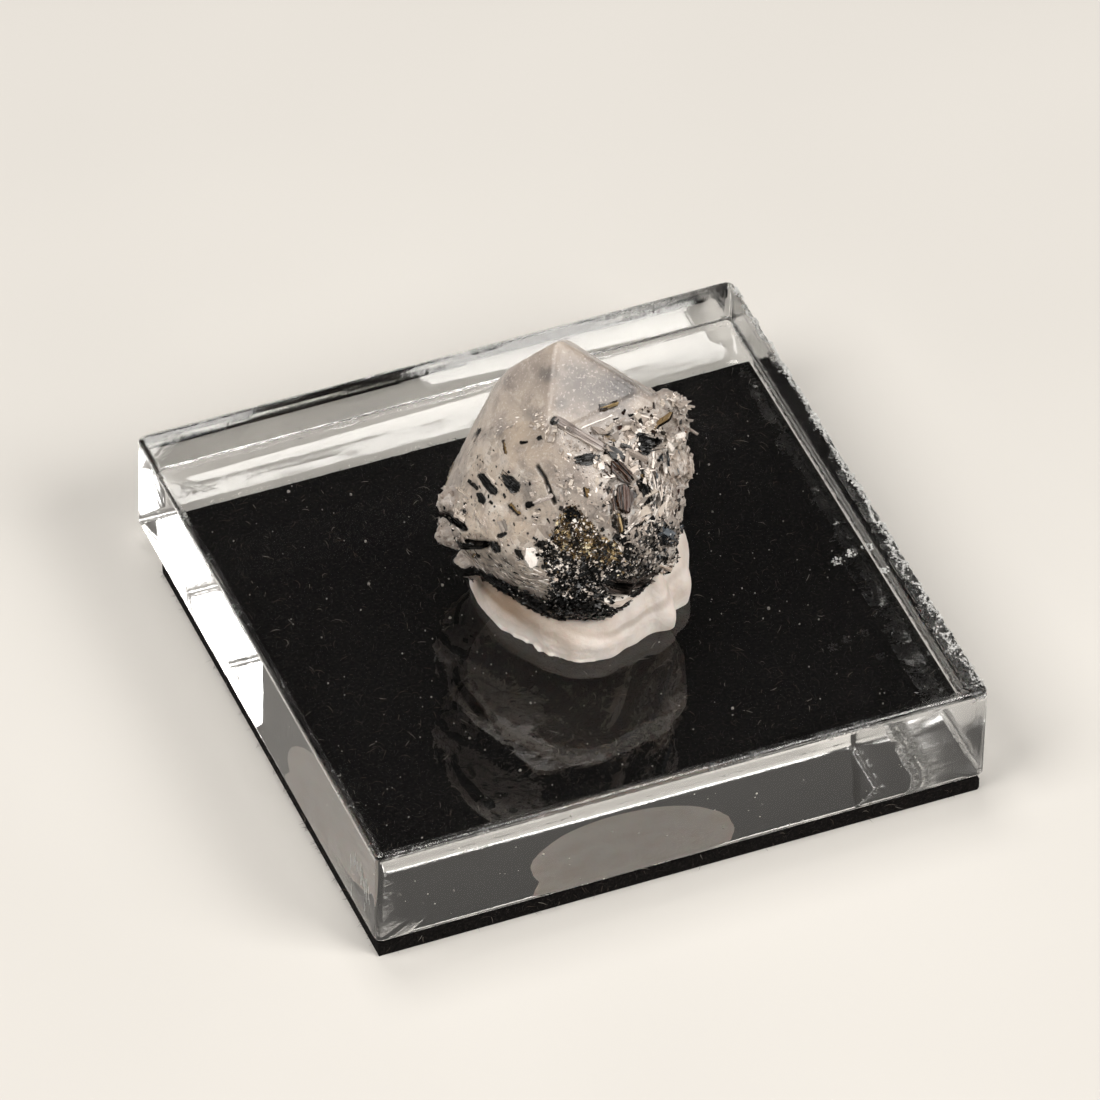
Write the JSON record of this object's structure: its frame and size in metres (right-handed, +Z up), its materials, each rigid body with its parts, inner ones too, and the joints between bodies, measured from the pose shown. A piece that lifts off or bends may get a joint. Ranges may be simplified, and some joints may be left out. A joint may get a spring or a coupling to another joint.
{
  "type": "phenakite crystal specimen on an acrylic display square",
  "caption": "Milky phenakite crystal with black mica, pressed into white putty on a clear acrylic display square over a black felt pad.",
  "frame": {"origin": "middle of the pad's underside, on the surface that it stands on", "axes": "+Z up, +X along the square's front edge to the right, +Y to its back"},
  "size_m": [0.0318, 0.0318, 0.0211],
  "materials": {
    "felt": "matte black pressed felt",
    "acrylic": "clear cast acrylic, flame-polished edges and one saw-cut edge",
    "putty": "hand-pressed cream mounting putty",
    "phenakite": "milky translucent crystal",
    "mica": "pearly black to bronze mica flakes"
  },
  "bodies": {
    "root": {"felt_pad": "felt", "acrylic_block": "acrylic", "putty": "putty", "phenakite_crystal": "phenakite"}
  },
  "joints": []
}
